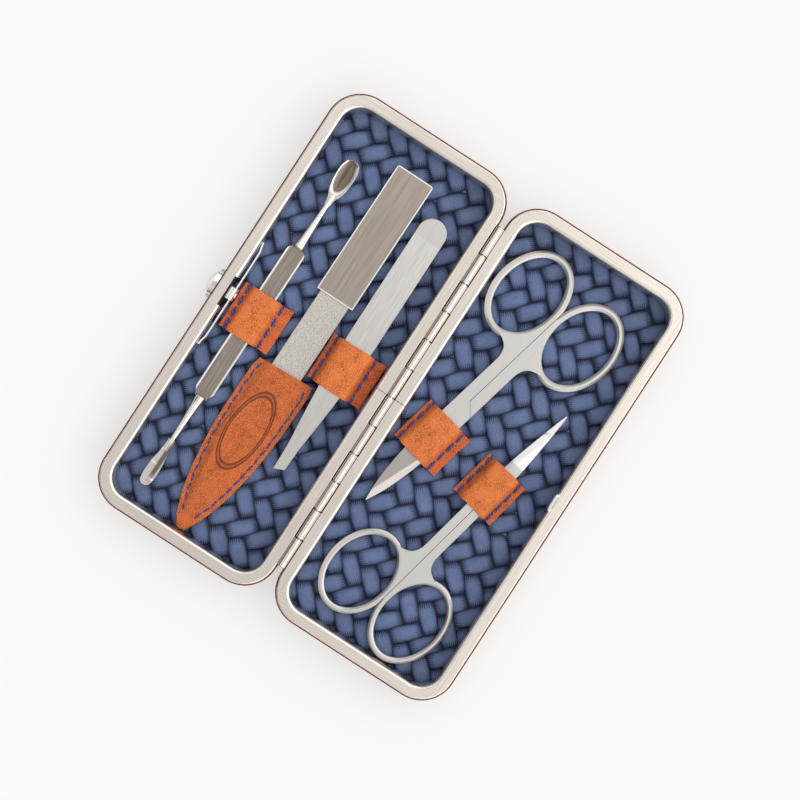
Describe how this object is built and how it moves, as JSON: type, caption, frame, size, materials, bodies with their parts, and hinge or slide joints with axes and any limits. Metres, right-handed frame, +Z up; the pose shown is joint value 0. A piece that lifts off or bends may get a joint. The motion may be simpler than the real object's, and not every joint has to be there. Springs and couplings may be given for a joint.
{
  "type": "manicure set case",
  "caption": "Flat-opening framed leather case with a piano hinge and push-button latch, holding a file, cuticle pusher, tweezers and two pairs of scissors in straps.",
  "frame": {"origin": "middle of the case's outline at the height of the surface it lies on", "axes": "+Z up out of the open case, +Y along the hinge, +X from the lid half towards the base half"},
  "size_m": [0.1269, 0.1448, 0.0152],
  "materials": {
    "rim_steel": "satin, brushed along the rim",
    "bright_steel": "polished",
    "tool_steel": "satin",
    "file_grit": "fine grit, matte",
    "cover_leather": "smooth, slightly glossy",
    "lining_leather": "embossed with a plaited pattern, satin",
    "strap_leather": "fine grain, matte",
    "board": "plain",
    "padding": "felt"
  },
  "bodies": {
    "base": {"base_frame": "rim_steel", "base_cover": "cover_leather", "base_board": "board", "base_padding": "padding", "base_lining": "lining_leather", "catch_tongue": "bright_steel", "hinge_pin": "bright_steel", "nail_strap_loop": "strap_leather", "cuticle_strap_loop": "strap_leather"},
    "lid": {"lid_frame": "rim_steel", "lid_cover": "cover_leather", "lid_board": "board", "lid_padding": "padding", "lid_lining": "lining_leather", "button_bezel": "bright_steel", "latch_spring": "bright_steel", "pusher_strap_loop": "strap_leather", "tweezers_strap_loop": "strap_leather", "sheath_back": "strap_leather", "sheath_front": "strap_leather"},
    "latch": {"button_cap": "bright_steel", "button_stem": "bright_steel", "latch_plate": "bright_steel"},
    "pusher": {"cuticle_pusher": "tool_steel"},
    "file": {"file_handle": "tool_steel", "file_blade": "file_grit"},
    "tweezers": {"tweezers_lower_arm": "tool_steel"},
    "tweezers_arm": {"tweezers_upper_arm": "tool_steel"},
    "nail_scissors": {"nail_half_upper": "tool_steel", "nail_screw": "bright_steel"},
    "nail_scissors_half": {"nail_half_lower": "tool_steel"},
    "cuticle_scissors": {"cuticle_half_upper": "tool_steel", "cuticle_screw": "bright_steel"},
    "cuticle_scissors_half": {"cuticle_half_lower": "tool_steel"}
  },
  "joints": [
    {"name": "lid_hinge", "type": "hinge", "parent": "base", "child": "lid", "pos_m": [0.0017, 0, 0.0121], "axis": [0, -1, 0], "range_deg": [-180, 0]},
    {"name": "button_press", "type": "slide", "parent": "lid", "child": "latch", "axis": [1, 0, 0], "range_m": [0, 0.0014], "stiffness_N_per_m": 900, "deforming": ["latch_spring"]},
    {"name": "pusher_draw", "type": "slide", "parent": "lid", "child": "pusher", "axis": [0.0057, 0.8191, 0.5736], "range_m": [0, 0.07], "deforming": ["pusher_strap_loop"]},
    {"name": "file_draw", "type": "slide", "parent": "lid", "child": "file", "axis": [0.0067, 0.766, 0.6428], "range_m": [0, 0.08], "deforming": ["sheath_front"]},
    {"name": "tweezers_draw", "type": "slide", "parent": "lid", "child": "tweezers", "axis": [0, 0.8192, 0.5736], "range_m": [0, 0.07], "deforming": ["tweezers_strap_loop"]},
    {"name": "tweezers_squeeze", "type": "hinge", "parent": "tweezers", "child": "tweezers_arm", "pos_m": [-0.01465, 0.0451, 0.0076], "axis": [1, 0, 0], "range_deg": [0, 1], "stiffness_Nm_per_rad": 1.5},
    {"name": "nail_scissors_draw", "type": "slide", "parent": "base", "child": "nail_scissors", "axis": [0.1176, 0.486, 0.866], "range_m": [0, 0.09], "deforming": ["nail_strap_loop"]},
    {"name": "nail_scissors_open", "type": "hinge", "parent": "nail_scissors", "child": "nail_scissors_half", "pos_m": [0.0194, 0.00028, 0.0067], "axis": [0, 0, -1], "range_deg": [0, 45]},
    {"name": "cuticle_scissors_draw", "type": "slide", "parent": "base", "child": "cuticle_scissors", "axis": [0, 0, 1], "range_m": [0, 0.09], "deforming": ["cuticle_strap_loop"]},
    {"name": "cuticle_scissors_open", "type": "hinge", "parent": "cuticle_scissors", "child": "cuticle_scissors_half", "pos_m": [0.04255, -0.00649, 0.0067], "axis": [0, 0, -1], "range_deg": [0, 45]}
  ],
  "couplings": [
    {"joint": "nail_scissors_open", "follows": "nail_scissors_draw", "rad_per_m": 8.7},
    {"joint": "cuticle_scissors_open", "follows": "cuticle_scissors_draw", "rad_per_m": 8.7}
  ]
}
